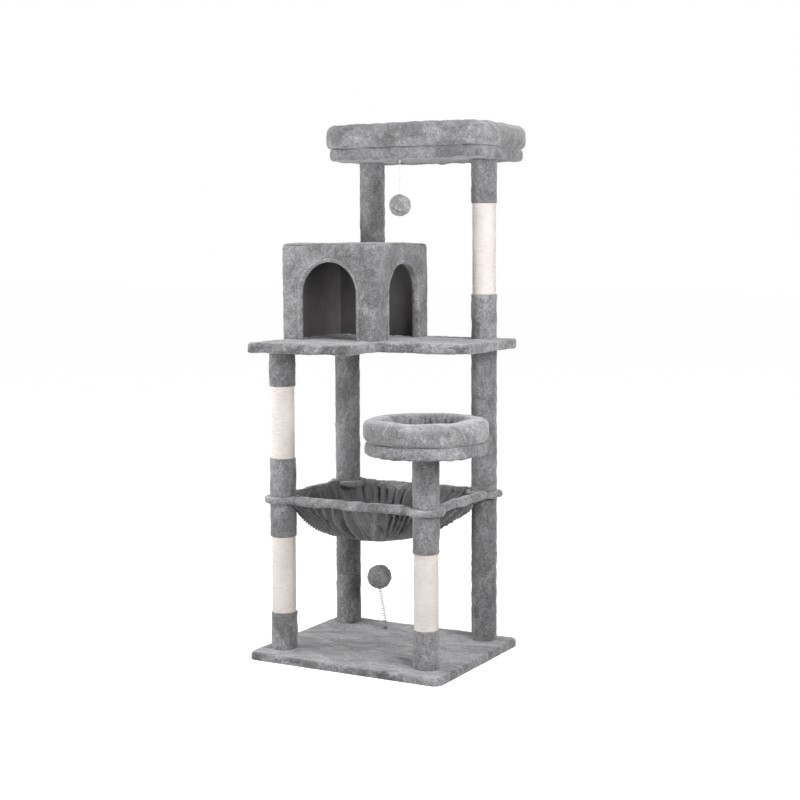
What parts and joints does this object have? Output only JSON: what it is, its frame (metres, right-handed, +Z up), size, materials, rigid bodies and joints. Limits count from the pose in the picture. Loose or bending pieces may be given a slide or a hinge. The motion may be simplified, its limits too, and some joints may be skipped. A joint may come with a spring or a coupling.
{
  "type": "cat tree",
  "caption": "Tall cat tree: plush base and posts with sisal, fabric hammock, round bed, condo with arched doors, top perch, and hanging and spring toys.",
  "frame": {"origin": "centre of the base's underside, on the floor", "axes": "+X to the right along the front edge, +Y to the back, +Z up"},
  "size_m": [0.686, 0.698, 1.49],
  "materials": {
    "plush": "short grey plush pile",
    "plush_soft": "soft grey plush pile over stuffing",
    "sisal": "wound cream sisal rope",
    "chipboard": "raw chipboard",
    "cardboard": "wound cardboard tube",
    "felt_panel": "thin board lined with smooth dark grey felt",
    "steel": "zinc-plated steel",
    "string": "white elastic string",
    "pom_pom": "fuzzy grey plush ball"
  },
  "bodies": {
    "root": {"base_board": "chipboard", "base_cover": "plush", "base_bolt_front_left": "steel", "base_bolt_front_right": "steel", "base_bolt_back_right": "steel", "base_bolt_back_left": "steel", "front_left_lower_tube": "cardboard", "front_left_lower_plush_bottom": "plush", "front_left_lower_sisal": "sisal", "front_left_lower_plush_top": "plush", "front_left_upper_tube": "cardboard", "front_left_upper_plush_bottom": "plush", "front_left_upper_sisal": "sisal", "front_left_upper_plush_top": "plush", "front_right_lower_tube": "cardboard", "front_right_lower_plush_bottom": "plush", "front_right_lower_sisal": "sisal", "front_right_lower_plush_top": "plush", "front_right_upper_tube": "cardboard", "front_right_upper_plush": "plush", "back_left_lower_tube": "cardboard", "back_left_lower_plush": "plush", "back_left_upper_tube": "cardboard", "back_left_upper_plush": "plush", "back_right_lower_tube": "cardboard", "back_right_lower_plush": "plush", "back_right_middle_tube": "cardboard", "back_right_middle_plush": "plush", "back_right_top_tube": "cardboard", "back_right_top_plush_bottom": "plush", "back_right_top_sisal": "sisal", "back_right_top_plush_top": "plush", "roof_post_tube": "cardboard", "roof_post_plush": "plush", "hammock_sling": "plush_soft", "hammock_wire": "steel", "platform_board": "chipboard", "platform_cover": "plush", "condo_front": "felt_panel", "condo_back": "felt_panel", "condo_left": "felt_panel", "condo_right": "felt_panel", "condo_roof": "felt_panel", "condo_cover": "plush", "roof_bolt": "steel", "bed_board": "chipboard", "bed_cover": "plush", "bed_bolster": "plush_soft", "bed_pad": "plush_soft", "perch_board": "chipboard", "perch_cover": "plush", "perch_bolster": "plush_soft", "string_tack": "steel", "spring_foot": "steel", "spring_lower": "steel"},
    "toy_knot": {"string_knot": "string"},
    "hanging_toy": {"toy_string": "string", "pom_pom": "pom_pom"},
    "spring_link": {"spring_upper": "steel"},
    "spring_top": {"spring_ball": "pom_pom"}
  },
  "joints": [
    {"name": "toy_swing_side", "type": "hinge", "parent": "root", "child": "toy_knot", "pos_m": [0.033, 0.035, 1.3847], "axis": [1, 0, 0], "range_deg": [-60, 60]},
    {"name": "toy_swing_front", "type": "hinge", "parent": "toy_knot", "child": "hanging_toy", "pos_m": [0.033, 0.035, 1.3847], "axis": [0, 1, 0], "range_deg": [-60, 60]},
    {"name": "spring_bend_back", "type": "hinge", "parent": "root", "child": "spring_link", "pos_m": [-0.099, 0.16775, 0.053], "axis": [1, 0, 0], "range_deg": [-25, 25], "stiffness_Nm_per_rad": 0.6, "deforming": ["spring_lower"]},
    {"name": "spring_bend_side", "type": "hinge", "parent": "spring_link", "child": "spring_top", "pos_m": [-0.107, 0.16325, 0.111], "axis": [0, 1, 0], "range_deg": [-25, 25], "stiffness_Nm_per_rad": 0.6, "deforming": ["spring_upper"]}
  ]
}
